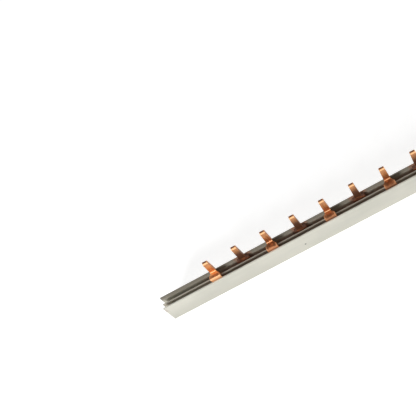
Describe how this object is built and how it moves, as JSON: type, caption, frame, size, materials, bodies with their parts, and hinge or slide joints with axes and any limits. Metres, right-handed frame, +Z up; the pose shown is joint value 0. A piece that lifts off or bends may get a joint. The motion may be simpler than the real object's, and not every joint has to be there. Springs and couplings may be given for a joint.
{
  "type": "comb busbar",
  "caption": "Pin comb busbar for rows of modular switchgear: copper combs in a pale, open-topped insulating profile, their tapered pins standing in one evenly spaced row.",
  "frame": {"origin": "centre of the base of the bar, below the whole outline's centre", "axes": "+X along the bar from the end beside the first stepped pin, +Y across it towards the channel of the straight comb, +Z up along the pins"},
  "size_m": [0.251, 0.008, 0.0284],
  "materials": {
    "insulation": "satin",
    "copper": "bare copper, rolled and stamped"
  },
  "bodies": {
    "root": {"insulating_profile": "insulation", "straight_comb": "copper", "stepped_comb": "copper"}
  },
  "joints": []
}
